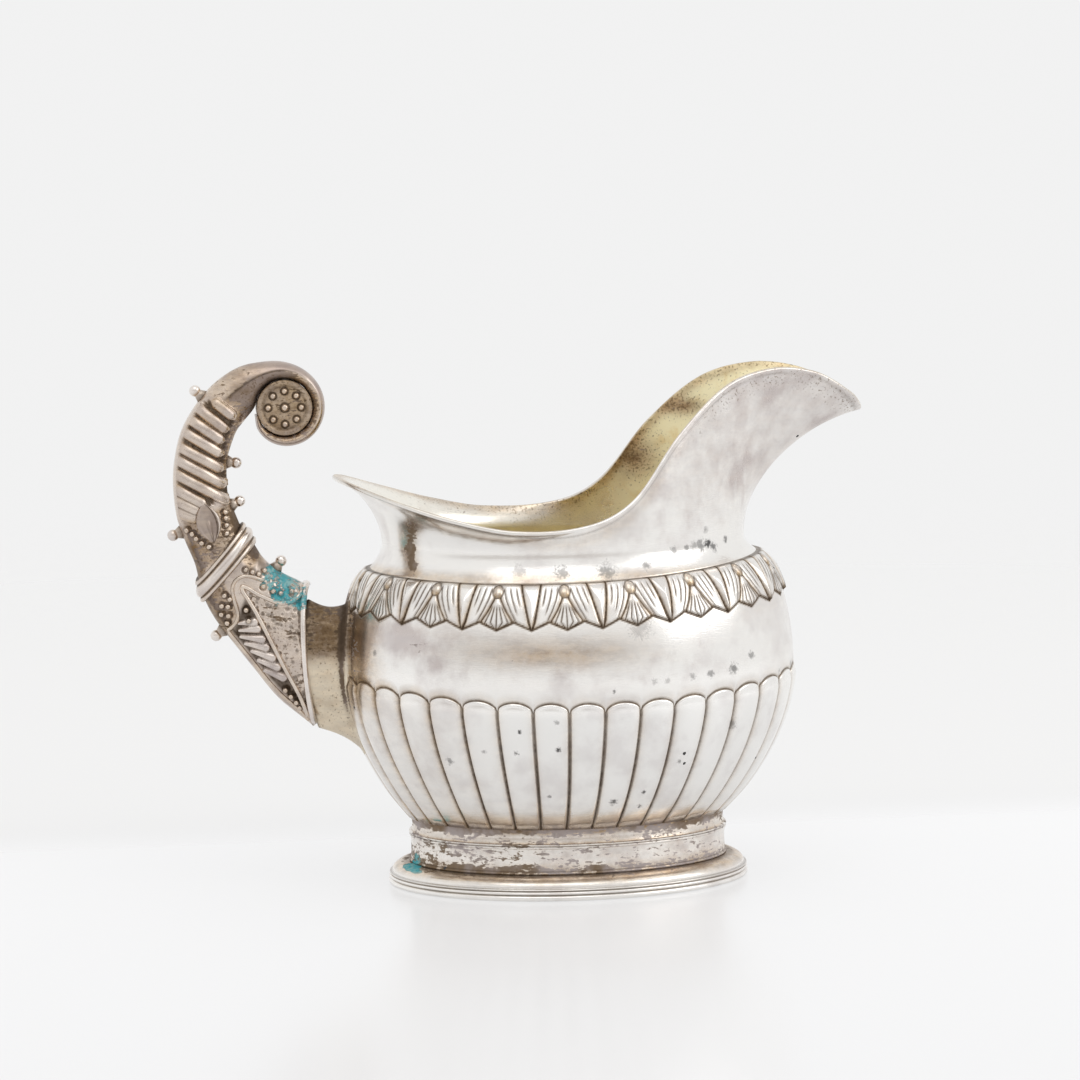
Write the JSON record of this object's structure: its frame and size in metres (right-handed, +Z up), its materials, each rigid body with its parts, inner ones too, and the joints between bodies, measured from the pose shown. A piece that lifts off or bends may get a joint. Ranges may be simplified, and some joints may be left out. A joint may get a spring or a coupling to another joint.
{
  "type": "creamer",
  "caption": "Footed oval silver cream jug with a lobed bowl, a leaf frieze, a flared neck with a high pouring spout and a horn-shaped scroll handle.",
  "frame": {"origin": "middle of the jug's box in plan, on the table under the foot", "axes": "+X along the jug towards the spout's tip, +Z up, and +Y to the left of someone who faces the spout's way; the jug mirrors across Y = 0"},
  "size_m": [0.1594, 0.0822, 0.1205],
  "materials": {
    "polished_silver": "polished silver sheet with a light tarnish; the inside of the neck and bowl is pale gilt",
    "tarnished_silver": "stamped silver, satin, with dark tarnish in its recesses"
  },
  "bodies": {
    "root": {"foot_base": "polished_silver", "foot_collar": "polished_silver", "foot_fillet": "polished_silver", "bowl": "polished_silver", "neck_spout": "polished_silver", "handle_socket": "tarnished_silver", "horn_mouth_wire": "polished_silver", "handle_strap": "tarnished_silver", "handle_half_left": "tarnished_silver", "handle_half_right": "tarnished_silver", "rosette_left": "tarnished_silver", "rosette_right": "tarnished_silver", "panel_wire_left": "polished_silver", "panel_wire_right": "polished_silver", "leaf_left": "tarnished_silver", "leaf_right": "tarnished_silver", "bead_back_top": "polished_silver", "bead_back_middle": "polished_silver", "bead_back_low": "polished_silver", "bead_front_top": "polished_silver", "bead_front_middle": "polished_silver", "bead_front_low": "polished_silver"}
  },
  "joints": []
}
